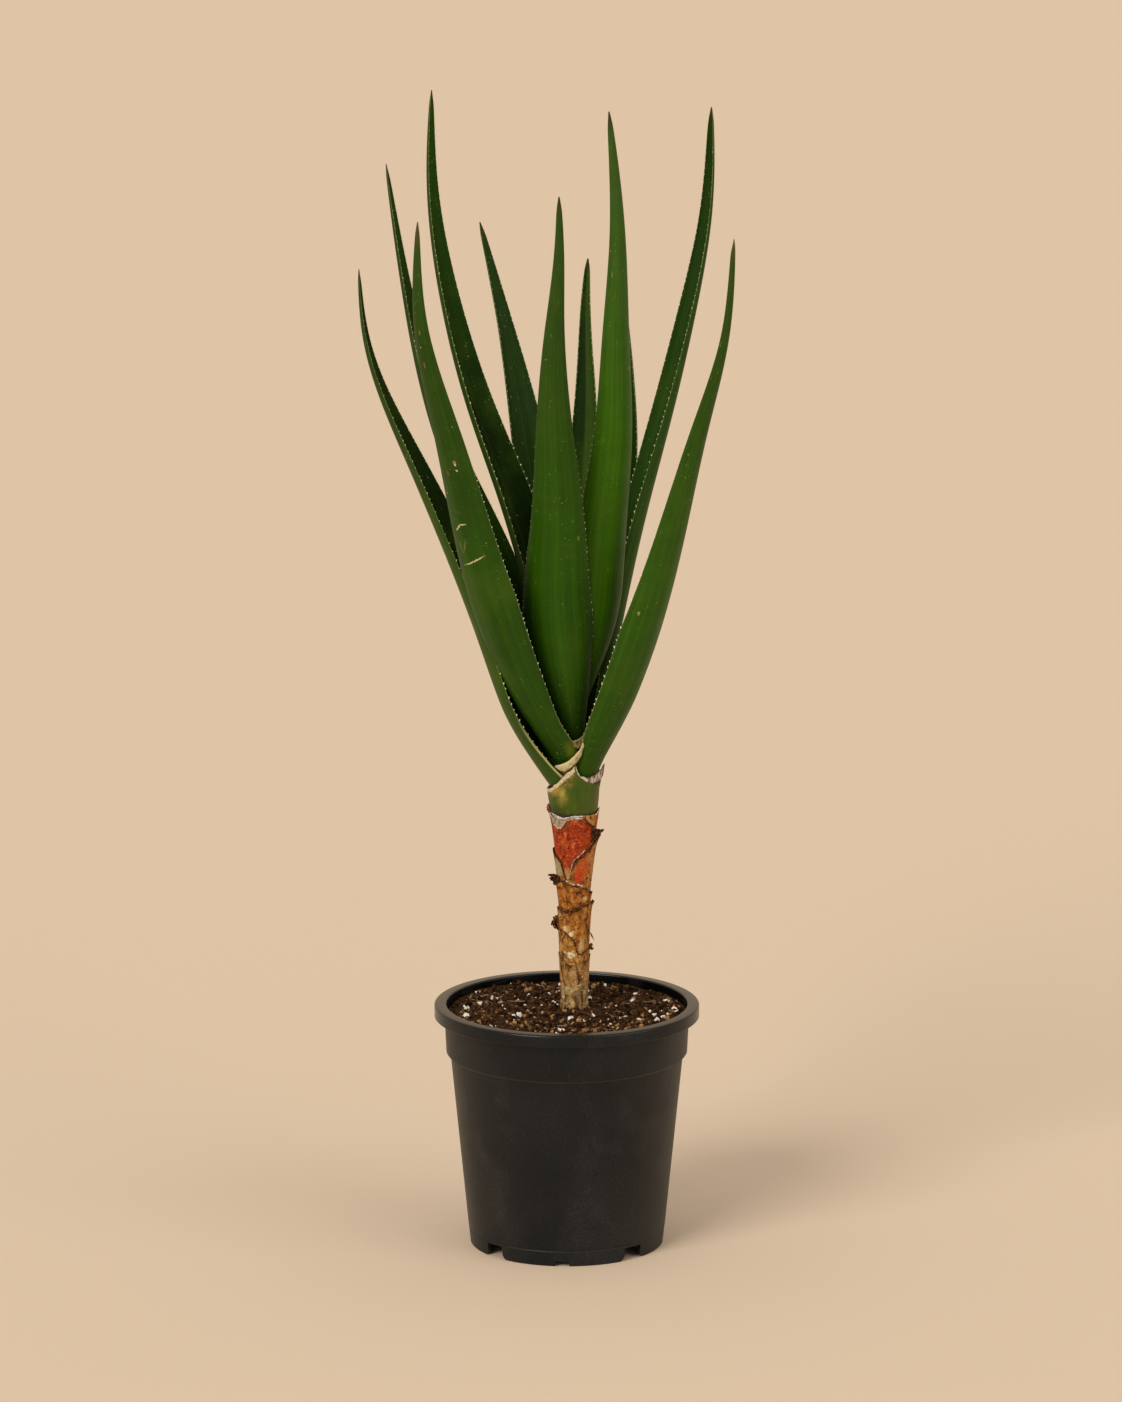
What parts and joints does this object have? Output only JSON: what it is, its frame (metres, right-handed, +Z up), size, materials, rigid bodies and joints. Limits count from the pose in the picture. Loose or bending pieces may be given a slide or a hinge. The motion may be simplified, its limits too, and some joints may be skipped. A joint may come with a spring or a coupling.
{
  "type": "potted tree aloe",
  "caption": "Young tree aloe with long, toothed, channelled leaves on a bare stem ringed with dry leaf bases, in a round black nursery pot of potting mix.",
  "frame": {"origin": "on the floor, in the middle of the width and depth that the whole plant takes up; the pot's own axis stands 18.5 mm towards +X and 17 mm towards -Y of it", "axes": "+Z up along the pot's axis; -Y is the front of the plant, +X its right side seen from the front"},
  "size_m": [0.334, 0.2942, 1.051],
  "materials": {
    "pot": "satin",
    "potting_mix": "matte",
    "stem": "matte",
    "dry_scale": "matte",
    "papery_collar": "matte",
    "green_sheath": "satin",
    "leaf": "satin"
  },
  "bodies": {
    "root": {"pot": "pot", "potting_mix": "potting_mix", "stem": "stem", "dry_scale_1": "dry_scale", "dry_scale_2": "dry_scale", "dry_scale_3": "dry_scale", "dry_scale_4": "dry_scale", "dry_scale_5": "dry_scale", "dry_scale_6": "dry_scale", "green_sheath": "green_sheath", "papery_collar": "papery_collar", "leaf_left_outer": "leaf", "leaf_right_outer": "leaf", "leaf_left_rear": "leaf", "leaf_right_rear_low": "leaf", "leaf_left_front": "leaf", "leaf_rear_left": "leaf", "leaf_right_rear_tall": "leaf", "leaf_front": "leaf", "leaf_left_tall": "leaf", "leaf_front_tall": "leaf", "leaf_rear": "leaf"}
  },
  "joints": []
}
